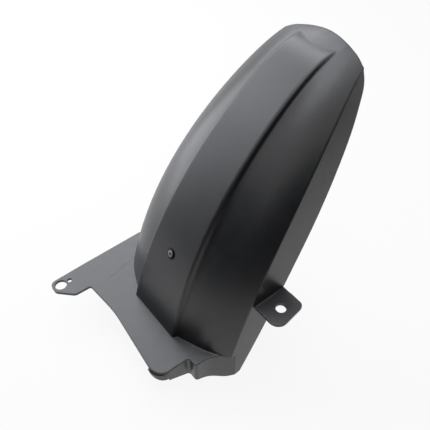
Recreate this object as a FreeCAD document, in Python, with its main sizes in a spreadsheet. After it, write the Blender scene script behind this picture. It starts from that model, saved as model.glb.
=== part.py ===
import FreeCAD, Part
import math
import os

import Sketcher

# Rear mudguard extender for a motorbike: one sheet of moulded plastic with a blind rivet in it.
#
# The moulding is drawn with X forward, Y to the left and Z up, from the foot of its raised band on top
# of the base plate. The arch stands on a straight rim line that climbs to the rear, and its cross
# sections are drawn square to that line: each one is named by how far up the rim it lies.
# The finished part is set down with the centre of the big ear hole at the origin.

SIZES = (
    ("wall", 2.5, "thickness of the moulded sheet"),
    ("overcut", 6, "how far a cutting shape runs past what it cuts"),
    # arch
    ("spine_radius", 348.6, "radius of the band's top about the wheel's axle"),
    ("rim_angle", 58, "climb of the rim line from the base plate, degrees"),
    ("foot_lean", 18.1, "how much steeper than the rim the band leaves the plate, degrees"),
    ("foot_depth", 45.6, "height of the band's foot over the rim line"),
    ("rim_length", 288, "length of rim that is drawn, before the tip is trimmed"),
    ("rim_half_width", 75.8, "half the width across the side flanges at the front"),
    ("rim_closing", 40.3, "how far each flange has closed in at the end of the rim"),
    ("flange_spare", 14, "how far the flanges are drawn below the rim line, before they are trimmed"),
    ("wall_drop", 25.3, "how far a side wall falls from the band's step to its crease"),
    ("tip_flattening", 20.5, "how much less it falls at the end of the rim"),
    ("nose_curl", 20, "how far the end of the rim bends in from the spine's circle"),
    ("nose_crown", 10, "height of the crown across the end of the rim"),
    ("crease_slope", 50, "slope of the side wall at its crease, degrees"),
    ("tip_crease_ease", 20, "how much gentler that slope is at the end of the rim, degrees"),
    ("step_slope", 8, "slope of the side wall beside the band, degrees"),
    ("foot_step_slope", 22, "slope of the side wall beside the band at the foot, degrees"),
    ("tip_step_slope", 33, "slope of the side wall beside the band at the end of the rim, degrees"),
    ("slope_settle", 30, "distance along the rim over which that slope settles"),
    ("wall_hold", 0.36, "how far along the side wall its end slopes are held, 0 to 0.5"),
    # raised band
    ("band_foot_width", 57.4, "width of the band's flat top at the foot"),
    ("band_tip_width", 34.8, "width of the band's flat top at the end of the rim"),
    ("step_height", 4.7, "height of the band over the side walls"),
    ("step_run", 3.5, "width of the rounded step beside the band"),
    ("step_bias", 0.6, "how far the band's flat top is held over the step, 0 to 1"),
    ("step_sink", 1, "how far the band is rooted in the sheet below its step"),
    ("band_end", 270, "end of the band, along the rim"),
    ("band_inner_end", 258, "end of the channel behind the band, along the rim"),
    ("band_fade", 36, "how late the band's height falls away before its end, a power"),
    # trimmed rim and tip
    ("rim_foot_drop", 8.5, "how far the flange's edge lies below the rim line at the foot"),
    ("rim_crest_at", 95, "highest part of the flange's edge, along the rim"),
    ("rim_crest", 0.8, "height of that part over the rim line"),
    ("rim_crest_radius", 600, "radius of the flange's edge there"),
    ("rim_dip_at", 225, "lowest part of the flange's edge by the tip, along the rim"),
    ("rim_dip", 4.8, "depth of that part below the rim line"),
    ("rim_dip_radius", 200, "radius of the flange's edge there"),
    ("tip_corner_at", 258, "where the flange's edge turns up to the tip, along the rim"),
    ("tip_corner_drop", 2.6, "depth of that corner below the rim line"),
    ("tip_corner_radius", 22, "radius of that corner"),
    ("tip_start", 267, "where the tip's own edge begins, along the rim"),
    ("tip_level", 5.5, "height of the tip's edge over the rim line"),
    ("tip_start_radius", 9, "radius between the two edges"),
    # base plate and its skirt
    ("plate_front", 32.8, "front edge of the plate at the skirt's corner, forward of the foot"),
    ("waist_front", 25.5, "front edge of the plate at its waist, forward of the foot"),
    ("waist_side", 26, "waist of the plate's front edge, right of the centre"),
    ("waist_radius", 120, "radius of the waist"),
    ("skirt_side", 55, "first run of the skirt, left of the centre"),
    ("skirt_corner_radius", 12, "radius of the skirt's front corner"),
    ("jog_back", 0.3, "jog in the skirt, forward of the foot"),
    ("jog_out", 9.5, "how far the jog steps outward"),
    ("jog_radius", 2.5, "radius of the jog's corners"),
    ("bend_back", 13, "bend in the skirt's second run, behind the foot"),
    ("bend_radius", 25, "radius of that bend"),
    ("skirt_end_back", 34, "end of the skirt in the flange, behind the foot"),
    ("skirt_end_side", 75.8, "end of the skirt in the flange, left of the centre"),
    ("skirt_start_side", 41, "where the skirt begins to hang from the plate's front edge"),
    ("skirt_front_depth", 11.5, "depth of the skirt behind its front corner"),
    ("skirt_low_back", 27, "lowest part of the skirt, behind the foot"),
    ("skirt_depth", 36, "depth of the skirt at its lowest"),
    ("skirt_end_depth", 32.5, "depth at which the skirt's lower edge runs into the flange"),
    ("skirt_edge_radius", 12, "radius along the skirt's lower edge"),
    # ear
    ("notch_front", 28.6, "front edge of the plate at the notch, forward of the foot"),
    ("notch_side", 64, "notch between plate and ear, right of the centre"),
    ("notch_radius", 2, "radius in the notch"),
    ("ear_shoulder", 44.5, "start of the ear's slanted side, forward of the foot"),
    ("ear_front", 58, "front end of the ear, forward of the foot"),
    ("ear_slant_side", 77.5, "end of the slanted side, right of the centre"),
    ("ear_side", 90, "outer edge of the ear at its front end, right of the centre"),
    ("ear_corner_radius", 6, "radius of the ear's corners"),
    ("wing_rear", 49, "rear end of the ear's outer edge, behind the foot"),
    ("wing_side", 96.6, "outer edge of the ear at its rear end, right of the centre"),
    ("wing_corner_radius", 4, "radius of the rear corner"),
    ("ear_hole_forward", 50.2, "ear hole, forward of the foot"),
    ("ear_hole_side", 82.3, "ear hole, right of the centre"),
    ("ear_hole_diameter", 11, "clearance hole for an M10 bolt"),
    ("pin_hole_spacing", 9, "small hole's distance behind the ear hole"),
    ("pin_hole_diameter", 4.5, "small hole beside the ear hole"),
    ("sunk_depth", 1.2, "how deep the wing's outer strip is sunk at its rear end"),
    ("sunk_rear_side", 78, "inner edge of that strip at the wing's rear end, right of the centre"),
    ("sunk_front", 18, "where the strip has run out, forward of the foot"),
    ("sunk_front_side", 59, "inner edge of the strip there, right of the centre"),
    # tab
    ("tab_height", 49.5, "top face of the tab over the plate"),
    ("tab_front", 52.7, "front edge of the tab, behind the foot"),
    ("tab_rear", 85.2, "rear edge of the tab, behind the foot"),
    ("tab_root", 62, "inner end of the tab, before it is cut to the wall"),
    ("tab_front_side", 103.1, "outer front corner of the tab, left of the centre"),
    ("tab_rear_side", 97.7, "outer rear corner of the tab, left of the centre"),
    ("tab_front_radius", 9, "radius of the front corner"),
    ("tab_rear_radius", 5, "radius of the rear corner"),
    ("tab_hole_back", 68.6, "tab hole, behind the foot"),
    ("tab_hole_side", 88.6, "tab hole, left of the centre"),
    ("tab_hole_diameter", 9, "clearance hole for an M8 bolt"),
    # blind rivet
    ("rivet_turn", 11.7, "rivet's place on the band, degrees about the axle from the foot"),
    ("rivet_head_diameter", 8.5, "diameter of the rivet's domed head"),
    ("rivet_crown_diameter", 5, "diameter of the flat on top of the head"),
    ("rivet_crown_radius", 1.5, "radius between that flat and the head's slope"),
    ("rivet_head_height", 1.4, "height of the head"),
    ("rivet_rim_height", 0.4, "height of the head's edge"),
    ("rivet_shank_diameter", 4, "diameter of the rivet's shank"),
    ("rivet_clearance", 0.1, "gap all round the shank"),
    ("rivet_seat_gap", 0.05, "gap under the head and over the tail"),
    ("rivet_tail_diameter", 6, "diameter of the set tail behind the wall"),
    ("rivet_tail_length", 4.5, "length of the set tail"),
    ("rivet_tail_radius", 0.8, "radius around the set tail"),
    ("mandrel_diameter", 2.2, "diameter of the mandrel stub"),
    ("mandrel_clearance", 0.05, "gap all round the mandrel"),
    ("mandrel_recess", 0.7, "depth of the broken stub below the head's top"),
    ("mandrel_head_diameter", 3.6, "diameter of the mandrel's head inside the tail's end"),
    ("mandrel_head_length", 1.6, "length of the mandrel's head"),
)

doc = FreeCAD.newDocument("rear_mudguard_extender")
sheet = doc.addObject("Spreadsheet::Sheet", "sizes")
for row, (alias, value, meaning) in enumerate(SIZES, start=1):
    sheet.set(f"A{row}", meaning)
    sheet.set(f"B{row}", str(value))
    sheet.setAlias(f"B{row}", alias)
doc.recompute()


def measure(expression):
    """Value of an expression of the sheet's sizes, as a plain number."""
    value = sheet.evalExpression(expression)
    return float(getattr(value, "Value", value))


def origin_plane(body, role):
    """One of the body's own three base planes, such as XY_Plane."""
    return next(plane for plane in body.Origin.OriginFeatures if plane.Role == role)


def new_sketch(body, name, role, turn=None, base=("0", "0", "0")):
    """Empty sketch on a base plane, moved by base and turned by an angle about an axis."""
    sketch = body.newObject("Sketcher::SketchObject", name)
    sketch.AttachmentSupport = [(origin_plane(body, role), "")]
    sketch.MapMode = "FlatFace"
    if turn:
        axis, angle = turn
        sketch.AttachmentOffset = FreeCAD.Placement(
            FreeCAD.Vector(), FreeCAD.Rotation(FreeCAD.Vector(*axis), measure(angle))
        )
        sketch.setExpression("AttachmentOffset.Rotation.Angle", angle)
    for letter, expression in zip("xyz", base):
        sketch.setExpression(f"AttachmentOffset.Base.{letter}", expression)
    return sketch


def fix_point(sketch, geometry, end, name, x, y):
    """Tie one end of a line or curve to two expressions."""
    for letter, expression in (("X", x), ("Y", y)):
        index = sketch.addConstraint(
            Sketcher.Constraint(f"Distance{letter}", geometry, end, measure(expression))
        )
        sketch.renameConstraint(index, f"{name}_{letter.lower()}")
        sketch.setExpression(f"Constraints.{name}_{letter.lower()}", expression)


def bezier(points):
    """Cubic curve from four poles."""
    curve = Part.BSplineCurve()
    curve.buildFromPolesMultsKnots(points, [4, 4], [0, 1], False, 3)
    return curve


def outline(sketch, corners):
    """Closed outline through corners of (name, x, y, radius), where no radius leaves a sharp corner."""
    points = [FreeCAD.Vector(measure(x), measure(y), 0) for _, x, y, _ in corners]
    count = len(corners)
    starts, ends, arcs = [], [], []
    for index, (name, _, _, radius) in enumerate(corners):
        corner = points[index]
        back = (points[index - 1] - corner).normalize()
        ahead = (points[(index + 1) % count] - corner).normalize()
        if radius is None:
            starts.append(corner)
            ends.append(corner)
            arcs.append(None)
            continue
        half = back.getAngle(ahead) / 2
        cut = measure(radius) / math.tan(half)
        middle = corner + (back + ahead).normalize() * (measure(radius) / math.sin(half))
        starts.append(corner + back * cut)
        ends.append(corner + ahead * cut)
        turns_left = back.cross(ahead).z < 0
        first, last = (starts[-1], ends[-1]) if turns_left else (ends[-1], starts[-1])
        angles = [math.atan2(point.y - middle.y, point.x - middle.x) for point in (first, last)]
        circle = Part.Circle(middle, FreeCAD.Vector(0, 0, 1), measure(radius))
        arcs.append((sketch.addGeometry(Part.ArcOfCircle(circle, *angles)), turns_left))
    lines = [
        sketch.addGeometry(Part.LineSegment(ends[index], starts[(index + 1) % count]))
        for index in range(count)
    ]
    for index, (name, x, y, radius) in enumerate(corners):
        before, after = lines[index - 1], lines[index]
        if arcs[index] is None:
            sketch.addConstraint(Sketcher.Constraint("Coincident", before, 2, after, 1))
            fix_point(sketch, after, 1, name, x, y)
            continue
        arc, turns_left = arcs[index]
        enter, leave = (1, 2) if turns_left else (2, 1)
        sketch.addConstraint(Sketcher.Constraint("Tangent", before, 2, arc, enter))
        sketch.addConstraint(Sketcher.Constraint("Tangent", arc, leave, after, 1))
        size = sketch.addConstraint(Sketcher.Constraint("Radius", arc, measure(radius)))
        sketch.renameConstraint(size, f"{name}_radius")
        sketch.setExpression(f"Constraints.{name}_radius", radius)
        peak = sketch.addGeometry(Part.Point(points[index]), True)
        sketch.addConstraint(Sketcher.Constraint("PointOnObject", peak, 1, before))
        sketch.addConstraint(Sketcher.Constraint("PointOnObject", peak, 1, after))
        fix_point(sketch, peak, 1, name, x, y)


def hole_circle(sketch, name, x, y, diameter):
    """Circle whose centre and diameter follow the sheet."""
    centre = FreeCAD.Vector(measure(x), measure(y), 0)
    circle = sketch.addGeometry(
        Part.Circle(centre, FreeCAD.Vector(0, 0, 1), measure(diameter) / 2)
    )
    fix_point(sketch, circle, 3, name, x, y)
    size = sketch.addConstraint(Sketcher.Constraint("Diameter", circle, measure(diameter)))
    sketch.renameConstraint(size, f"{name}_diameter")
    sketch.setExpression(f"Constraints.{name}_diameter", diameter)


def extrude(body, kind, name, sketch, length, backward=False):
    """Pad or Pocket of a sketch, checked for having changed the solid."""
    before = body.Shape.Volume if body.Tip else 0.0
    feature = body.newObject(f"PartDesign::{kind}", name)
    feature.Profile = (sketch, [""])
    feature.setExpression("Length", length)
    feature.Reversed = backward
    doc.recompute()
    change = body.Shape.Volume - before
    if (change <= 0) if kind == "Pad" else (change >= 0):
        raise RuntimeError(f"{name} changed the volume by {change:.3f}")
    return feature


def half_width(at):
    """Half the width across the side flanges at a place along the rim."""
    return f"(sizes.rim_half_width - sizes.rim_closing * (({at})^2 / sizes.rim_length^2)^1.25)"


def growth(at, length):
    """Share from 0 at the foot to 1 far up the rim, half reached after the given length."""
    return f"(({at})^2 / (({at})^2 + {length}^2))"


def crease_slope(at):
    """Slope of the side wall at its crease, degrees."""
    return f"(sizes.crease_slope - sizes.tip_crease_ease * (({at}) / sizes.rim_length)^4)"


def step_slope(at):
    """Slope of the side wall beside the band, degrees."""
    settled = f"(sizes.step_slope - sizes.foot_step_slope) * {growth(at, 'sizes.slope_settle')}"
    tip = f"(sizes.tip_step_slope - sizes.step_slope) * (({at}) / sizes.rim_length)^12"
    return f"(sizes.foot_step_slope + {settled} + {tip})"


def base_height(at):
    """Height of the sheet beside the band over the rim line."""
    lean = "sizes.spine_radius * sin(sizes.foot_lean)"
    circle = f"sqrt(sizes.spine_radius^2 - ({lean} - ({at}))^2) - sizes.spine_radius * cos(sizes.foot_lean)"
    curl = f"sizes.nose_curl * (({at}) / sizes.rim_length)^20"
    return f"(sizes.foot_depth + {circle} - {curl} - sizes.step_height)"


def band_half_width(at):
    """Half the width of the band's flat top."""
    narrowing = f"(sizes.band_foot_width - sizes.band_tip_width) * ({at}) / sizes.rim_length"
    return f"(sizes.band_foot_width - {narrowing}) / 2"


def rim_sketch(body, name, at):
    """Empty sketch square to the rim line at a place along it, with its origin on the line."""
    return new_sketch(
        body,
        name,
        "YZ_Plane",
        turn=((1, 0, 0), "sizes.rim_angle"),
        base=(
            "0",
            f"{at} * sin(sizes.rim_angle) - sizes.foot_depth * cos(sizes.rim_angle)",
            f"-({at}) * cos(sizes.rim_angle) - sizes.foot_depth * sin(sizes.rim_angle)",
        ),
    )


def mirrored(points):
    """The same points on the right of the centre."""
    return [FreeCAD.Vector(-point.x, point.y, 0) for point in points]


def close_section(sketch, top, left_curves, right_curves, corners):
    """Join a top curve, the two sides below it and a floor, and tie the sides' ends to the sheet."""
    top = sketch.addGeometry(top)
    left, right = [[sketch.addGeometry(curve) for curve in side] for side in (left_curves, right_curves)]
    last = corners[-1]
    ends = [FreeCAD.Vector(sign * measure(last[1]), measure(last[2]), 0) for sign in (1, -1)]
    floor = sketch.addGeometry(Part.LineSegment(*ends))
    joints = [(top, 2, left[0], 1), (top, 1, right[0], 1), (left[-1], 2, floor, 1), (right[-1], 2, floor, 2)]
    for side in (left, right):
        joints += [(first, 2, second, 1) for first, second in zip(side, side[1:])]
    for joint in joints:
        sketch.addConstraint(Sketcher.Constraint("Coincident", *joint))
    for index, (name, x, y) in enumerate(corners):
        curve, end = (index, 1) if index < len(left) else (index - 1, 2)
        fix_point(sketch, left[curve], end, f"left_{name}", x, y)
        fix_point(sketch, right[curve], end, f"right_{name}", f"-({x})", y)


def dome_section(body, name, at, inset, drop):
    """Cross section of the arch without its band: a crowned top, two side walls and two flanges."""
    slope = crease_slope(at)
    fall = f"(sizes.wall_drop - sizes.tip_flattening * (({at}) / sizes.rim_length)^4)"
    flange = f"{half_width(at)} - {inset}"
    corners = (
        ("shoulder", f"{band_half_width(at)} + sizes.step_run - {inset} / 2", f"{base_height(at)} - {inset}"),
        ("crease", flange, f"{base_height(at)} - {fall} - {inset} * (1 - sin({slope})) / cos({slope})"),
        ("edge", flange, f"-(sizes.flange_spare + {drop})"),
    )
    shoulder, crease, edge = [FreeCAD.Vector(measure(x), measure(y), 0) for _, x, y in corners]
    crown = measure(f"sizes.nose_crown * (({at}) / sizes.rim_length)^20")
    inward = shoulder + FreeCAD.Vector(-shoulder.x * 2 / 3, crown, 0)
    angles = [math.radians(measure(angle)) for angle in (step_slope(at), slope)]
    leaving, arriving = [FreeCAD.Vector(math.cos(angle), -math.sin(angle), 0) for angle in angles]
    hold = (crease - shoulder).Length * measure("sizes.wall_hold")
    wall_poles = [shoulder, shoulder + leaving * hold, crease - arriving * hold, crease]
    sides = [
        [bezier(side(wall_poles)), Part.LineSegment(*side([crease, edge]))] for side in (list, mirrored)
    ]
    sketch = rim_sketch(body, name, at)
    close_section(sketch, bezier(mirrored([shoulder, inward]) + [inward, shoulder]), *sides, corners)
    return sketch


def band_section(body, name, at, inset, end):
    """Cross section of the raised band, rooted a little way into the sheet below it."""
    half = f"{band_half_width(at)} - {inset} / 2"
    rise = f"sizes.step_height * (1 - (({at}) / {end})^sizes.band_fade)"
    corners = (
        ("top", half, f"{base_height(at)} + {rise} - {inset}"),
        ("foot", f"{half} + sizes.step_run", f"{base_height(at)} - sizes.step_sink - {inset}"),
    )
    top, foot = [FreeCAD.Vector(measure(x), measure(y), 0) for _, x, y in corners]
    bias = measure("sizes.step_bias")
    across = FreeCAD.Vector((foot.x - top.x) * bias, 0, 0)
    upward = FreeCAD.Vector((top.x - foot.x) * (1 - bias), (top.y - foot.y) * bias, 0)
    step_poles = [top, top + across, foot + upward, foot]
    sides = [[bezier(side(step_poles))] for side in (list, mirrored)]
    sketch = rim_sketch(body, name, at)
    close_section(sketch, Part.LineSegment(*mirrored([top]), top), *sides, corners)
    return sketch


SPANS = 24


def arch_loft(body, kind, name, length, draw):
    """Loft through evenly spaced cross sections, from below the plate to a length along the rim."""
    sections = []
    for span in range(-1, SPANS + 1):
        sections.append(draw(body, f"{name}_section_{span + 1}", f"({length} * {span} / {SPANS})"))
    doc.recompute()
    before = body.Shape.Volume if body.Tip else 0.0
    loft = body.newObject(f"PartDesign::{kind}", name)
    loft.Profile = (sections[0], [""])
    loft.Sections = [(section, [""]) for section in sections[1:]]
    loft.Ruled = False
    doc.recompute()
    change = body.Shape.Volume - before
    if (change <= 0) if kind == "AdditiveLoft" else (change >= 0):
        raise RuntimeError(f"{name} changed the volume by {change:.3f}")


def rim_side_sketch(body, name, beside):
    """Empty sketch along the rim line seen from the side: along the rim, and down from it."""
    return new_sketch(
        body,
        name,
        "XZ_Plane",
        turn=((0, 0, 1), "180 - sizes.rim_angle"),
        base=(
            "-sizes.foot_depth * sin(sizes.rim_angle)",
            "-sizes.foot_depth * cos(sizes.rim_angle)",
            f"-({beside})",
        ),
    )


SECOND_RUN = "sizes.skirt_side + sizes.jog_out"


def skirt_line():
    """Corners that the plate's left edge and the skirt's outer face share, from the front to the flange."""
    return [
        ("skirt_corner", "sizes.plate_front", "sizes.skirt_side", "sizes.skirt_corner_radius"),
        ("jog_in", "sizes.jog_back", "sizes.skirt_side", "sizes.jog_radius"),
        ("jog_out", "sizes.jog_back", SECOND_RUN, "sizes.jog_radius"),
        ("bend", "-sizes.bend_back", SECOND_RUN, "sizes.bend_radius"),
        ("skirt_end", "-sizes.skirt_end_back", "sizes.skirt_end_side", None),
    ]


def base_plate(body):
    """Flat plate in front of the arch, with the ear that reaches forward on the right."""
    sketch = new_sketch(body, "plate_outline", "XY_Plane")
    outline(sketch, skirt_line() + [
        ("under_arch", "-sizes.skirt_end_back", "sizes.band_foot_width / 2", None),
        ("wing_inner", "-sizes.wing_rear", "-sizes.band_foot_width", None),
        ("wing_rear", "-sizes.wing_rear", "-sizes.wing_side", "sizes.wing_corner_radius"),
        ("ear_outer", "sizes.ear_front", "-sizes.ear_side", "sizes.ear_corner_radius"),
        ("ear_inner", "sizes.ear_front", "-sizes.ear_slant_side", "sizes.ear_corner_radius"),
        ("ear_shoulder", "sizes.ear_shoulder", "-sizes.notch_side", "sizes.ear_corner_radius"),
        ("notch", "sizes.notch_front", "-sizes.notch_side", "sizes.notch_radius"),
        ("waist", "sizes.waist_front", "-sizes.waist_side", "sizes.waist_radius"),
    ])
    extrude(body, "Pad", "plate", sketch, "sizes.wall", backward=True)


def skirt(body):
    """Wall that hangs from the plate's front corner and jogged left edge, deepest below the jog."""
    sketch = new_sketch(body, "skirt_plan", "XY_Plane", base=("0", "0", "-sizes.wall"))
    outline(sketch, skirt_line() + [
        ("inner_end", "-sizes.skirt_end_back", "sizes.skirt_end_side - sizes.wall", None),
        ("inner_bend", "-sizes.bend_back", f"{SECOND_RUN} - sizes.wall", "sizes.bend_radius + sizes.wall"),
        ("inner_jog_out", "sizes.jog_back - sizes.wall", f"{SECOND_RUN} - sizes.wall", None),
        ("inner_jog_in", "sizes.jog_back - sizes.wall", "sizes.skirt_side - sizes.wall",
         "sizes.jog_radius + sizes.wall"),
        ("inner_corner", "sizes.plate_front - sizes.wall", "sizes.skirt_side - sizes.wall",
         "sizes.skirt_corner_radius - sizes.wall"),
        ("inner_start", "sizes.plate_front - sizes.wall", "sizes.skirt_start_side", None),
        ("start", "sizes.plate_front", "sizes.skirt_start_side", None),
    ])
    extrude(body, "Pad", "skirt", sketch, "sizes.skirt_depth", backward=True)

    beside = "(sizes.rim_half_width + sizes.overcut)"
    rear = "-sizes.skirt_end_back - 2 * sizes.overcut"
    front = "sizes.plate_front + sizes.overcut"
    side_cut = new_sketch(body, "skirt_lower_edge", "XZ_Plane", base=("0", "0", f"-{beside}"))
    outline(side_cut, [
        ("front", front, "-sizes.wall", None),
        ("corner", "sizes.plate_front - sizes.overcut", "-sizes.skirt_front_depth",
         "sizes.skirt_edge_radius"),
        ("low", "-sizes.skirt_low_back", "-sizes.skirt_depth", "sizes.skirt_edge_radius"),
        ("rear", rear, "-sizes.skirt_end_depth", None),
        ("rear_floor", rear, "-2 * sizes.skirt_depth", None),
        ("front_floor", front, "-2 * sizes.skirt_depth", None),
    ])
    extrude(body, "Pocket", "skirt_lower_edge_cut", side_cut, f"2 * {beside}", backward=True)

    front_cut = new_sketch(body, "skirt_front_fade", "YZ_Plane", base=("0", "0", front))
    outline(front_cut, [
        ("start", "sizes.skirt_start_side", "-sizes.wall", None),
        ("end", "sizes.skirt_side", "-sizes.skirt_front_depth", None),
        ("end_floor", "sizes.skirt_side", "-2 * sizes.skirt_depth", None),
        ("start_floor", "sizes.skirt_start_side - sizes.overcut", "-2 * sizes.skirt_depth", None),
        ("start_top", "sizes.skirt_start_side - sizes.overcut", "-sizes.wall", None),
    ])
    extrude(body, "Pocket", "skirt_front_fade_cut", front_cut, "sizes.overcut + sizes.skirt_corner_radius")


def trim_under_plate(body):
    """Cut the arch away below the plate, except for the end of the left flange, which the skirt meets."""
    beside = "sizes.rim_half_width + sizes.overcut"
    flange_start = "sizes.wall / 10 - sizes.skirt_end_back"
    sketch = new_sketch(body, "under_plate", "XY_Plane", base=("0", "0", "-sizes.wall"))
    outline(sketch, [
        ("front_left", "sizes.overcut", beside, None),
        ("rear_left", flange_start, beside, None),
        ("rear_mid", flange_start, "sizes.band_foot_width / 2", None),
        ("rim_mid", "-sizes.rim_half_width", "sizes.band_foot_width / 2", None),
        ("rim_right", "-sizes.rim_half_width", f"-({beside})", None),
        ("front_right", "sizes.overcut", f"-({beside})", None),
    ])
    extrude(body, "Pocket", "under_plate_cut", sketch, "sizes.foot_depth")


def trim_rim(body):
    """Cut the flanges and the tip to their free edge, seen from the side along the rim."""
    beside = "(sizes.rim_half_width + sizes.overcut)"
    sketch = rim_side_sketch(body, "rim_edge", beside)
    before = "-sizes.rim_length / 6"
    beyond = "sizes.rim_length + sizes.overcut"
    below = "2 * sizes.foot_depth"
    outline(sketch, [
        ("foot", before, "sizes.rim_foot_drop", None),
        ("crest", "sizes.rim_crest_at", "-sizes.rim_crest", "sizes.rim_crest_radius"),
        ("dip", "sizes.rim_dip_at", "sizes.rim_dip", "sizes.rim_dip_radius"),
        ("corner", "sizes.tip_corner_at", "sizes.tip_corner_drop", "sizes.tip_corner_radius"),
        ("tip_start", "sizes.tip_start", "-sizes.tip_level", "sizes.tip_start_radius"),
        ("tip_end", beyond, "-sizes.tip_level", None),
        ("tip_floor", beyond, below, None),
        ("foot_floor", before, below, None),
    ])
    extrude(body, "Pocket", "rim_cut", sketch, f"2 * {beside}", backward=True)


def tab(body):
    """Level tab that stands out from the left flange."""
    sketch = new_sketch(body, "tab_outline", "XY_Plane", base=("0", "0", "sizes.tab_height"))
    outline(sketch, [
        ("front_root", "-sizes.tab_front", "sizes.tab_root", None),
        ("front", "-sizes.tab_front", "sizes.tab_front_side", "sizes.tab_front_radius"),
        ("rear", "-sizes.tab_rear", "sizes.tab_rear_side", "sizes.tab_rear_radius"),
        ("rear_root", "-sizes.tab_rear", "sizes.tab_root", None),
    ])
    extrude(body, "Pad", "tab", sketch, "sizes.wall", backward=True)


def sunk_strip(body):
    """Strip along the wing's outer edge that sinks from nothing at the ear to its full depth at the rear."""
    ends = []
    for name, forward, side, depth in (
        ("rear", "-(sizes.wing_rear + sizes.overcut)", "sizes.sunk_rear_side", "sizes.sunk_depth"),
        ("front", "sizes.sunk_front", "sizes.sunk_front_side", "sizes.sunk_depth / 50"),
    ):
        sketch = new_sketch(body, f"sunk_strip_{name}", "YZ_Plane", base=("0", "0", forward))
        outer = "-(sizes.wing_side + sizes.overcut)"
        outline(sketch, [
            ("inner_low", f"-{side}", f"-({depth})", None),
            ("inner_high", f"-{side}", "sizes.wall", None),
            ("outer_high", outer, "sizes.wall", None),
            ("outer_low", outer, f"-({depth})", None),
        ])
        ends.append(sketch)
    doc.recompute()
    cut = body.newObject("PartDesign::SubtractiveLoft", "sunk_strip_cut")
    cut.Profile = (ends[0], [""])
    cut.Sections = [(ends[1], [""])]
    cut.Ruled = True
    doc.recompute()


def bolt_holes(body):
    """Round holes in the ear and the tab."""
    sketch = new_sketch(body, "ear_holes", "XY_Plane", base=("0", "0", "sizes.wall"))
    hole_circle(sketch, "bolt", "sizes.ear_hole_forward", "-sizes.ear_hole_side", "sizes.ear_hole_diameter")
    hole_circle(sketch, "pin", "sizes.ear_hole_forward - sizes.pin_hole_spacing", "-sizes.ear_hole_side",
                "sizes.pin_hole_diameter")
    extrude(body, "Pocket", "ear_holes_cut", sketch, "3 * sizes.wall")
    sketch = new_sketch(body, "tab_hole", "XY_Plane", base=("0", "0", "sizes.tab_height + sizes.wall"))
    hole_circle(sketch, "bolt", "-sizes.tab_hole_back", "sizes.tab_hole_side", "sizes.tab_hole_diameter")
    extrude(body, "Pocket", "tab_hole_cut", sketch, "3 * sizes.wall")


FOOT_ANGLE = "(sizes.rim_angle + sizes.foot_lean)"
RIVET_ANGLE = f"({FOOT_ANGLE} - sizes.rivet_turn)"
GRIP = f"(sizes.wall * cos({RIVET_ANGLE} - sizes.rim_angle) + sizes.rivet_seat_gap)"


def rivet_point(over):
    """Place of the rivet's axis at a height over the band, as three expressions."""
    return (
        f"(sizes.spine_radius + {over}) * sin({RIVET_ANGLE}) - sizes.spine_radius * sin({FOOT_ANGLE})",
        "0",
        f"(sizes.spine_radius + {over}) * cos({RIVET_ANGLE}) - sizes.spine_radius * cos({FOOT_ANGLE})",
    )


def rivet_hole(body):
    """Hole for the blind rivet, square to the band."""
    sketch = new_sketch(
        body, "rivet_hole", "XY_Plane", turn=((0, 1, 0), RIVET_ANGLE), base=rivet_point("sizes.wall")
    )
    hole_circle(sketch, "rivet", "0", "0", "sizes.rivet_shank_diameter + 2 * sizes.rivet_clearance")
    extrude(body, "Pocket", "rivet_hole_cut", sketch, "2 * sizes.wall + sizes.overcut")


def turned(name, corners):
    """Body turned about the rivet's axis from half an outline, set in the rivet's hole."""
    body = doc.addObject("PartDesign::Body", name)
    body.Label = name
    sketch = new_sketch(body, f"{name}_profile", "XZ_Plane")
    outline(sketch, corners)
    turning = body.newObject("PartDesign::Revolution", f"{name}_turning")
    turning.Profile = (sketch, [""])
    turning.ReferenceAxis = (sketch, ["V_Axis"])
    turning.Angle = 360
    body.Placement = FreeCAD.Placement(
        FreeCAD.Vector(), FreeCAD.Rotation(FreeCAD.Vector(0, 1, 0), measure(RIVET_ANGLE))
    )
    body.setExpression("Placement.Rotation.Angle", RIVET_ANGLE)
    x, _, z = rivet_point("0")
    body.setExpression("Placement.Base.x", f"{x} - sizes.ear_hole_forward")
    body.setExpression("Placement.Base.y", "sizes.ear_hole_side")
    body.setExpression("Placement.Base.z", z)
    doc.recompute()
    return body


shell = doc.addObject("PartDesign::Body", "mudguard_shell")
shell.Label = "mudguard_shell"
arch_loft(shell, "AdditiveLoft", "dome", "sizes.rim_length",
          lambda body, name, at: dome_section(body, name, at, "0", "0"))
arch_loft(shell, "AdditiveLoft", "band", "sizes.band_end",
          lambda body, name, at: band_section(body, name, at, "0", "sizes.band_end"))
trim_under_plate(shell)
base_plate(shell)
sunk_strip(shell)
tab(shell)
arch_loft(shell, "SubtractiveLoft", "dome_hollow", "sizes.rim_length",
          lambda body, name, at: dome_section(body, name, at, "sizes.wall", "sizes.overcut"))
arch_loft(shell, "SubtractiveLoft", "band_hollow", "sizes.band_inner_end",
          lambda body, name, at: band_section(body, name, at, "sizes.wall", "sizes.band_inner_end"))
skirt(shell)
trim_rim(shell)
bolt_holes(shell)
rivet_hole(shell)
shell.setExpression("Placement.Base.x", "-sizes.ear_hole_forward")
shell.setExpression("Placement.Base.y", "sizes.ear_hole_side")

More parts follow.
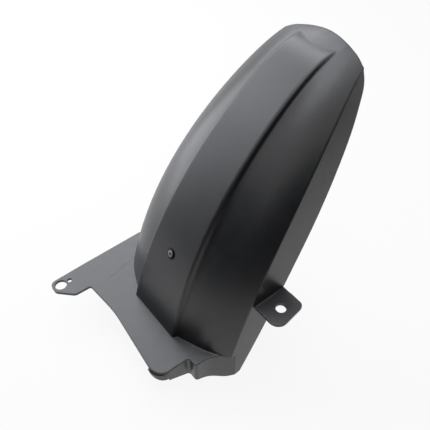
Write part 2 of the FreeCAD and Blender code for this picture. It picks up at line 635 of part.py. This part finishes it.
bore = "sizes.mandrel_diameter / 2 + sizes.mandrel_clearance"
pocket = "sizes.mandrel_head_diameter / 2 + sizes.mandrel_clearance"
tail_end = f"-({GRIP} + sizes.rivet_tail_length)"
head_top = f"{tail_end} + sizes.mandrel_head_length"
rivet_body = turned("rivet_body", [
    ("bore_top", bore, "sizes.rivet_head_height", None),
    ("crown", "sizes.rivet_crown_diameter / 2", "sizes.rivet_head_height", "sizes.rivet_crown_radius"),
    ("rim_top", "sizes.rivet_head_diameter / 2", "sizes.rivet_rim_height", None),
    ("rim", "sizes.rivet_head_diameter / 2", "sizes.rivet_seat_gap", None),
    ("neck", "sizes.rivet_shank_diameter / 2", "sizes.rivet_seat_gap", None),
    ("neck_end", "sizes.rivet_shank_diameter / 2", f"-{GRIP}", None),
    ("tail_top", "sizes.rivet_tail_diameter / 2", f"-{GRIP}", "sizes.rivet_tail_radius / 2"),
    ("tail_end", "sizes.rivet_tail_diameter / 2", tail_end, "sizes.rivet_tail_radius"),
    ("pocket_end", pocket, tail_end, None),
    ("pocket_top", pocket, f"{head_top} + sizes.mandrel_clearance", None),
    ("bore_end", bore, f"{head_top} + sizes.mandrel_clearance", None),
])
mandrel = turned("rivet_mandrel", [
    ("stub_middle", "0", "sizes.rivet_head_height - sizes.mandrel_recess", None),
    ("head_middle", "0", tail_end, None),
    ("head_end", "sizes.mandrel_head_diameter / 2", tail_end, None),
    ("head_top", "sizes.mandrel_head_diameter / 2", head_top, None),
    ("stub_end", "sizes.mandrel_diameter / 2", head_top, None),
    ("stub", "sizes.mandrel_diameter / 2", "sizes.rivet_head_height - sizes.mandrel_recess", None),
])

doc.recompute()
for item in doc.Objects:
    if "Invalid" in item.State or "Error" in item.State:
        raise RuntimeError(f"{item.Name} did not build: {item.State}")
nodes = (shell, rivet_body, mandrel)
for node in nodes:
    if node.Shape.isNull() or not node.Shape.isValid() or len(node.Shape.Solids) != 1:
        raise RuntimeError(f"{node.Label} is not one sound solid")

os.makedirs("parts", exist_ok=True)
for node in nodes:
    node.Shape.exportStep(f"parts/{node.Label}.step")
    print(node.Label, round(node.Shape.Volume, 1), node.Shape.BoundBox)
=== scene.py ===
import math

import bpy
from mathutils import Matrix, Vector


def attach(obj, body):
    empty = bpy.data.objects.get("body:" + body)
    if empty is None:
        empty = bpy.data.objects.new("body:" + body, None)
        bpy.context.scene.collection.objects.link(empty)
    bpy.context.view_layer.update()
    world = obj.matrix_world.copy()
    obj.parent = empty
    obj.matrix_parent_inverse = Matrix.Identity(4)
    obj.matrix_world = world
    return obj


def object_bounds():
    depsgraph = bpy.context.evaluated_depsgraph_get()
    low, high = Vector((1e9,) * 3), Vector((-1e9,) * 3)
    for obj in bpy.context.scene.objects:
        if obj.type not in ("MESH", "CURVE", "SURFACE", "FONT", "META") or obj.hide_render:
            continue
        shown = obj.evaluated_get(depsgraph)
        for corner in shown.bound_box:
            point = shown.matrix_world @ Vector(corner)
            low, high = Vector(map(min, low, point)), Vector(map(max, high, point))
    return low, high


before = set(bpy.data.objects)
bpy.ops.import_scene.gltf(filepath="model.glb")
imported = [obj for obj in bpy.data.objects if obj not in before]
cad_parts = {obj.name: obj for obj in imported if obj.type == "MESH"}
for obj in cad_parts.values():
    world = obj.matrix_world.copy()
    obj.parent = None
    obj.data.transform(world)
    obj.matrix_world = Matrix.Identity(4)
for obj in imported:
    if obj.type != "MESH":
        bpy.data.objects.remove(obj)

cad_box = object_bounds()
scene = bpy.context.scene
scene.view_settings.view_transform = "Standard"

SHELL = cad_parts["mudguard_shell"]
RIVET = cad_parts["rivet_body"]
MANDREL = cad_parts["rivet_mandrel"]

# Lengths are in metres, in the CAD model's frame; angles are in degrees.

# Camera. The lens and the sensor are in millimetres.
VIEW_TURN = 142.303
VIEW_RISE = 44.569
LOOK_FROM = (0.0855, 0.3487, 0.4160)
LENS = 46.62
SENSOR = 36.0
CLIP_START = 0.01

# Lamps: place, width and height, watts. They face one point and share a slightly cool white.
LAMPS = {
    "softbox_top": ((-0.27, -0.05, 1.19), (0.60, 1.62), 8.2),
    "softbox_side": ((-0.13, -0.74, 0.82), (1.28, 0.54), 7.8),
    "softbox_low": ((0.26, -0.74, 0.28), (0.80, 0.62), 4.5),
}
LAMPS_FACE = Vector((-0.15, 0.082, 0.10))
COOL = (0.97, 0.985, 1.06)
WORLD_LEVEL = 0.08
WHITE = 1.0

# Floor, and the share of plain white in what the camera and reflections see of it.
FLOOR_DROP = 0.0006
FLOOR_LEVEL = cad_box[0][2] - FLOOR_DROP
FLOOR_REACH = 4.0
FLOOR_WHITE = 0.9
FLOOR_TONES = ((0.84, 0.84, 0.84), (0.87, 0.87, 0.87))
FLOOR_SPECK = 300.0

# Dark cards: the two ends of the foot, and the height.
CARDS = {
    "card_left": ((-0.75, 0.45), (0.50, 0.45), 0.42),
    "card_front": ((0.50, 0.45), (0.50, -0.50), 0.58),
}
CARD_TONES = ((0.012, 0.012, 0.012), (0.02, 0.02, 0.02))
CARD_FELT = 200.0

# Soft edges of the moulding: a small radius everywhere, a larger one on the arch's step and
# crease, the largest on the right half of the arch, and one of its own along the skirt's top.
EDGE_ROUND = 0.0011
ARCH_ROUND = 0.0026
RIGHT_ROUND = 0.0042
SKIRT_ROUND = 0.0022
BEVEL_SAMPLES = 6

# Where those radii hold. The rim lies in a plane that leans by RIM_LEAN.
CENTRE_Y = 0.0823
MIDDLE_SPAN = (CENTRE_Y - 0.005, CENTRE_Y + 0.005)
FLANGE_FACE = 0.0760
RIM_LEAN = math.radians(58)
RIM_UP = (math.sin(RIM_LEAN), 0.0, math.cos(RIM_LEAN))
RIM_DEPTH = 0.0882
RIM_SPAN = (0.006 - RIM_DEPTH, 0.010 - RIM_DEPTH)
PLATE_SPAN = (0.003, 0.008)
SKIRT_START = 0.122
SKIRT_TOP = 0.004
SKIRT_SPAN = (-0.009, -0.006)

# Moulded plastic: tones, noise scales per metre, roughness, gloss and bumps.
NOISE_SPAN = (0.3, 0.7)
PLASTIC_TONES = ((0.0130, 0.0136, 0.0146), (0.0170, 0.0176, 0.0188))
FLECK_TONE = (0.026, 0.027, 0.0285)
FLECK_SPAN = (0.35, 0.75)
FLECK_MOST = 0.5
# Paler edges: partly rubbed wear, partly a painted highlight along the rounded edges.
RUBBED_AND_HIGHLIGHT_TONE = (0.05, 0.0515, 0.054)
RUBBED_AND_HIGHLIGHT_SPAN = (0.35, 0.7)
RUBBED_AND_HIGHLIGHT_SHARE = (0.15, 0.6)
EDGE_TURN = (0.995, 0.80)
DRIFT_SCALE = 18.0
CLOUD_SCALE = 140.0
GRAIN_SCALE = 1500.0
DRIFT_ROUGH = (0.335, 0.375)
CLOUD_ROUGH = (-0.02, 0.03)
PLASTIC_IOR = 1.58
GRAIN_BUMP = (0.10, 0.0002)
DRIFT_BUMP = (0.04, 0.002)

# Rivet: painted shade, dark like a contact shadow, on the shell round its head and on the head's
# rim, by distance from the head's top.
RIVET_TOP = (-0.0748, 0.0823, 0.0666)
SHELL_PAINTED_SHADE_SPAN = (0.0050, 0.0058)
SHELL_PAINTED_SHADE_TONE = (0.003, 0.003, 0.003)
SHELL_PAINTED_SHADE_ROUGH = 0.5
RIM_PAINTED_SHADE_SPAN = (0.0031, 0.0037)
RIM_PAINTED_SHADE_END = (0.0046, 0.0050)
RIM_PAINTED_SHADE_TONE = (0.006, 0.006, 0.006)

# The rivet's metals: tones and roughness, and the noise and bump that they share.
ALUMINIUM_TONES = ((0.16, 0.16, 0.164), (0.32, 0.32, 0.328))
ALUMINIUM_ROUGH = (0.45, 0.6)
# The mandrel's near-black tones are painted shade of the hollow at the centre of the rivet's head.
MANDREL_SHADE_TONES = ((0.008, 0.008, 0.008), (0.025, 0.025, 0.026))
STEEL_ROUGH = (0.5, 0.7)
TARNISH_SCALE = 900.0
SCRATCH_SCALE = 5200.0
SCRATCH_BUMP = (0.15, 0.0001)

# Foot of the right flange, in plan and in height, where the cut of the wing's sunk strip leaves
# the solid open.
FOOT_OUTER = (
    (-0.0962, 0.0067), (-0.0809, 0.0067), (-0.0779, 0.0092), (-0.0763, 0.0107), (-0.0745, 0.0126),
)
FOOT_INNER = (
    (-0.0945, 0.0090), (-0.0817, 0.0090), (-0.0795, 0.0109), (-0.0774, 0.0129), (-0.0754, 0.0152),
)
FOOT_LOW = -0.0014
FOOT_HIGH = 0.0028

# Sockets of the colour kind of Blender's Mix node.
MIX_SHARE, MIX_FIRST, MIX_SECOND, MIX_RESULT = 0, 6, 7, 2


class Nodes:
    """A node tree, with short calls to add and link nodes."""

    def __init__(self, tree):
        self.tree = tree
        tree.nodes.clear()

    def add(self, kind, **settings):
        node = self.tree.nodes.new(kind)
        for name, value in settings.items():
            setattr(node, name, value)
        return node

    def link(self, start, end):
        self.tree.links.new(start, end)

    def finish(self, surface, kind="ShaderNodeOutputMaterial"):
        self.link(surface, self.add(kind).inputs["Surface"])

    def place(self):
        return self.add("ShaderNodeTexCoord").outputs["Object"]

    def math(self, operation, *values):
        node = self.add("ShaderNodeMath", operation=operation)
        for socket, value in zip(node.inputs, values):
            if isinstance(value, (int, float)):
                socket.default_value = value
            else:
                self.link(value, socket)
        return node.outputs[0]

    def vector(self, operation, where, other):
        """Dot product or distance of a vector and a fixed or linked one."""
        node = self.add("ShaderNodeVectorMath", operation=operation)
        self.link(where, node.inputs[0])
        if isinstance(other, tuple):
            node.inputs[1].default_value = other
        else:
            self.link(other, node.inputs[1])
        return node.outputs["Value"]

    def axes(self, where):
        node = self.add("ShaderNodeSeparateXYZ")
        self.link(where, node.inputs[0])
        return node.outputs

    def noise(self, where, scale, detail=4.0):
        node = self.add("ShaderNodeTexNoise")
        node.inputs["Scale"].default_value = scale
        node.inputs["Detail"].default_value = detail
        node.inputs["Roughness"].default_value = 0.5
        self.link(where, node.inputs["Vector"])
        return node.outputs["Fac"]

    def ranged(self, value, span, to_low=0.0, to_high=1.0):
        node = self.add("ShaderNodeMapRange")
        node.inputs["From Min"].default_value = span[0]
        node.inputs["From Max"].default_value = span[1]
        node.inputs["To Min"].default_value = to_low
        node.inputs["To Max"].default_value = to_high
        self.link(value, node.inputs["Value"])
        return node.outputs["Result"]

    def blend(self, share, first, second):
        node = self.add("ShaderNodeMix", data_type="RGBA")
        for index, value in ((MIX_FIRST, first), (MIX_SECOND, second)):
            if isinstance(value, tuple):
                node.inputs[index].default_value = (*value, 1.0)
            else:
                self.link(value, node.inputs[index])
        self.link(share, node.inputs[MIX_SHARE])
        return node.outputs[MIX_RESULT]

    def bump(self, height, strength, distance, normal=None):
        node = self.add("ShaderNodeBump")
        node.inputs["Strength"].default_value = strength
        node.inputs["Distance"].default_value = distance
        self.link(height, node.inputs["Height"])
        if normal is not None:
            self.link(normal, node.inputs["Normal"])
        return node.outputs["Normal"]

    def seen(self):
        """1 to the camera, to reflections and through glass, and 0 to light on the part."""
        path = self.add("ShaderNodeLightPath").outputs
        mirrored = self.math("MAXIMUM", path["Is Glossy Ray"], path["Is Transmission Ray"])
        return self.math("MAXIMUM", mirrored, path["Is Camera Ray"])


def new_material(name):
    material = bpy.data.materials.new(name)
    material.use_nodes = True
    return material, Nodes(material.node_tree)


def arch_share(nodes, where):
    """1 on the arch away from its free rim, and 0 on the rim, the plate, the skirt and the tab."""
    over_rim = nodes.ranged(nodes.vector("DOT_PRODUCT", where, RIM_UP), RIM_SPAN)
    axes = nodes.axes(where)
    over_plate = nodes.ranged(axes["Z"], PLATE_SPAN)
    beside = nodes.math("ABSOLUTE", nodes.math("SUBTRACT", axes["Y"], CENTRE_Y))
    within = nodes.math("LESS_THAN", beside, FLANGE_FACE)
    return nodes.math("MULTIPLY", nodes.math("MULTIPLY", over_rim, over_plate), within)


def skirt_edge_share(nodes, where):
    """1 along the edge where the plate turns down into the skirt, and 0 elsewhere."""
    axes = nodes.axes(where)
    beside = nodes.math("GREATER_THAN", axes["Y"], SKIRT_START)
    below = nodes.math("LESS_THAN", axes["Z"], SKIRT_TOP)
    near = nodes.ranged(axes["Z"], SKIRT_SPAN)
    return nodes.math("MULTIPLY", nodes.math("MULTIPLY", beside, below), near)


def soft_edges(nodes, where):
    """Normal of the moulding with its edges rounded."""
    wide = nodes.ranged(nodes.axes(where)["Y"], MIDDLE_SPAN, RIGHT_ROUND, ARCH_ROUND)
    arch = nodes.math("MULTIPLY", arch_share(nodes, where), wide)
    arch = nodes.math("MAXIMUM", arch, EDGE_ROUND)
    skirt = nodes.ranged(skirt_edge_share(nodes, where), (0.0, 1.0), EDGE_ROUND, SKIRT_ROUND)
    rounded = nodes.add("ShaderNodeBevel", samples=BEVEL_SAMPLES)
    nodes.link(nodes.math("MAXIMUM", arch, skirt), rounded.inputs["Radius"])
    return rounded.outputs["Normal"]


def moulded_plastic():
    """Matte black plastic: fine grain, slow drift, paler edges that are partly rubbed wear and
    partly a painted highlight, and painted shade round the rivet.
    """
    material, nodes = new_material("moulded_plastic")
    where = nodes.place()
    shader = nodes.add("ShaderNodeBsdfPrincipled")
    nodes.finish(shader.outputs["BSDF"])
    shader.inputs["IOR"].default_value = PLASTIC_IOR

    drift = nodes.noise(where, DRIFT_SCALE, detail=3.0)
    cloud = nodes.noise(where, CLOUD_SCALE)
    grain = nodes.noise(where, GRAIN_SCALE, detail=2.0)
    normal = soft_edges(nodes, where)
    # Painted shade: a dark ring on the shell round the rivet's head, where its shadow falls.
    painted_shade = nodes.ranged(nodes.vector("DISTANCE", where, RIVET_TOP), SHELL_PAINTED_SHADE_SPAN, 1.0, 0.0)

    tone = nodes.blend(nodes.ranged(drift, NOISE_SPAN), *PLASTIC_TONES)
    tone = nodes.blend(nodes.ranged(grain, FLECK_SPAN, 0.0, FLECK_MOST), tone, FLECK_TONE)
    true_normal = nodes.add("ShaderNodeNewGeometry").outputs["Normal"]
    edge = nodes.ranged(nodes.vector("DOT_PRODUCT", normal, true_normal), EDGE_TURN)
    # Edges made paler: partly wear, partly a painted highlight.
    worn_and_highlit = nodes.math("MULTIPLY", edge, nodes.ranged(cloud, RUBBED_AND_HIGHLIGHT_SPAN, *RUBBED_AND_HIGHLIGHT_SHARE))
    tone = nodes.blend(worn_and_highlit, tone, RUBBED_AND_HIGHLIGHT_TONE)
    nodes.link(nodes.blend(painted_shade, tone, SHELL_PAINTED_SHADE_TONE), shader.inputs["Base Color"])

    slow = nodes.ranged(drift, NOISE_SPAN, *DRIFT_ROUGH)
    rough = nodes.math("ADD", slow, nodes.ranged(cloud, NOISE_SPAN, *CLOUD_ROUGH))
    # The painted shade round the rivet is also rougher, which dulls its sheen.
    rough = nodes.math("ADD", rough, nodes.math("MULTIPLY", painted_shade, SHELL_PAINTED_SHADE_ROUGH))
    nodes.link(rough, shader.inputs["Roughness"])

    fine = nodes.bump(grain, *GRAIN_BUMP, normal)
    nodes.link(nodes.bump(drift, *DRIFT_BUMP, fine), shader.inputs["Normal"])
    return material


def dull_metal(name, tones, roughness):
    """The rivet's metal: tarnished, finely scratched, and darkened by painted shade on the rim of
    the head.
    """
    material, nodes = new_material(name)
    where = nodes.place()
    shader = nodes.add("ShaderNodeBsdfPrincipled")
    nodes.finish(shader.outputs["BSDF"])
    shader.inputs["Metallic"].default_value = 1.0

    tarnish = nodes.noise(where, TARNISH_SCALE, detail=5.0)
    scratch = nodes.noise(where, SCRATCH_SCALE, detail=3.0)
    # Painted shade on the rim of the rivet's head.
    away = nodes.vector("DISTANCE", where, RIVET_TOP)
    on_head = nodes.ranged(away, RIM_PAINTED_SHADE_END, 1.0, 0.0)
    painted_shade = nodes.math("MULTIPLY", nodes.ranged(away, RIM_PAINTED_SHADE_SPAN), on_head)

    tone = nodes.blend(nodes.ranged(tarnish, NOISE_SPAN), *tones)
    nodes.link(nodes.blend(painted_shade, tone, RIM_PAINTED_SHADE_TONE), shader.inputs["Base Color"])
    nodes.link(nodes.ranged(scratch, NOISE_SPAN, *roughness), shader.inputs["Roughness"])
    nodes.link(nodes.bump(scratch, *SCRATCH_BUMP), shader.inputs["Normal"])
    return material


def dress(node, material):
    node.data.materials.clear()
    node.data.materials.append(material)


def new_mesh(name, points, faces, material):
    mesh = bpy.data.meshes.new(name)
    mesh.from_pydata(points, [], faces)
    mesh.materials.append(material)
    thing = bpy.data.objects.new(name, mesh)
    scene.collection.objects.link(thing)
    return thing


def add_flange_foot(material):
    """The short length of wall that closes the right flange down to the sunk strip."""
    plan = FOOT_OUTER + tuple(reversed(FOOT_INNER))
    count = len(plan)
    points = [(x, y, z) for z in (FOOT_LOW, FOOT_HIGH) for x, y in plan]
    sides = [(i, (i + 1) % count, (i + 1) % count + count, i + count) for i in range(count)]
    lids = []
    for i in range(len(FOOT_OUTER) - 1):
        strip = (i, i + 1, count - 2 - i, count - 1 - i)
        lids += [tuple(reversed(strip)), tuple(corner + count for corner in strip)]
    foot = new_mesh("flange_foot", points, sides + lids, material)
    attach(foot, "root")


def mottled(nodes, scale, tones):
    """Diffuse surface of two close tones."""
    diffuse = nodes.add("ShaderNodeBsdfDiffuse")
    share = nodes.ranged(nodes.noise(nodes.place(), scale), NOISE_SPAN)
    nodes.link(nodes.blend(share, *tones), diffuse.inputs["Color"])
    return diffuse.outputs["BSDF"]


def add_floor():
    """A pale floor that shows near white and keeps a faint shadow of the part."""
    material, nodes = new_material("floor")
    white = nodes.add("ShaderNodeEmission")
    white.inputs["Strength"].default_value = WHITE
    mixed = nodes.add("ShaderNodeMixShader")
    nodes.link(nodes.math("MULTIPLY", nodes.seen(), FLOOR_WHITE), mixed.inputs["Fac"])
    nodes.link(mottled(nodes, FLOOR_SPECK, FLOOR_TONES), mixed.inputs[1])
    nodes.link(white.outputs["Emission"], mixed.inputs[2])
    nodes.finish(mixed.outputs["Shader"])
    ends = ((-1, -1), (1, -1), (1, 1), (-1, 1))
    corners = [(x * FLOOR_REACH, y * FLOOR_REACH, FLOOR_LEVEL) for x, y in ends]
    new_mesh("floor", corners, [(0, 1, 2, 3)], material)


def add_card(name, first, last, height):
    """A dark card outside the picture, for reflections: unseen by the camera, with no shadow."""
    material, nodes = new_material(name)
    nodes.finish(mottled(nodes, CARD_FELT, CARD_TONES))
    foot = [(*first, FLOOR_LEVEL), (*last, FLOOR_LEVEL)]
    top = [(*last, FLOOR_LEVEL + height), (*first, FLOOR_LEVEL + height)]
    card = new_mesh(name, foot + top, [(0, 1, 2, 3)], material)
    card.visible_camera = False
    card.visible_shadow = False


def add_world():
    """Faint light all round, and white where the camera or a reflection sees past the floor."""
    world = bpy.data.worlds.new("studio")
    scene.world = world
    world.use_nodes = True
    nodes = Nodes(world.node_tree)
    back = nodes.add("ShaderNodeBackground")
    back.inputs["Color"].default_value = (1.0, 1.0, 1.0, 1.0)
    strength = nodes.ranged(nodes.seen(), (0.0, 1.0), WORLD_LEVEL, WHITE)
    nodes.link(strength, back.inputs["Strength"])
    nodes.finish(back.outputs["Background"], "ShaderNodeOutputWorld")


def add_softbox(name, place, across, power):
    """A rectangular area lamp."""
    data = bpy.data.lights.new(name, "AREA")
    data.shape = "RECTANGLE"
    data.size, data.size_y = across
    data.energy = power
    data.color = COOL
    lamp = bpy.data.objects.new(name, data)
    lamp.location = place
    lamp.rotation_euler = (Vector(place) - LAMPS_FACE).to_track_quat("Z", "Y").to_euler()
    scene.collection.objects.link(lamp)


def add_camera():
    data = bpy.data.cameras.new("camera")
    data.sensor_fit = "HORIZONTAL"
    data.sensor_width = SENSOR
    data.lens = LENS
    data.clip_start = CLIP_START
    camera = bpy.data.objects.new("camera", data)
    camera.location = LOOK_FROM
    camera.rotation_euler = (math.radians(90 - VIEW_RISE), 0, math.radians(VIEW_TURN))
    scene.collection.objects.link(camera)
    scene.camera = camera


add_camera()
plastic = moulded_plastic()
dress(SHELL, plastic)
add_flange_foot(plastic)
dress(RIVET, dull_metal("rivet_aluminium", ALUMINIUM_TONES, ALUMINIUM_ROUGH))
dress(MANDREL, dull_metal("mandrel_steel", MANDREL_SHADE_TONES, STEEL_ROUGH))
add_floor()
add_world()
for name, lamp in LAMPS.items():
    add_softbox(name, *lamp)
for name, card in CARDS.items():
    add_card(name, *card)
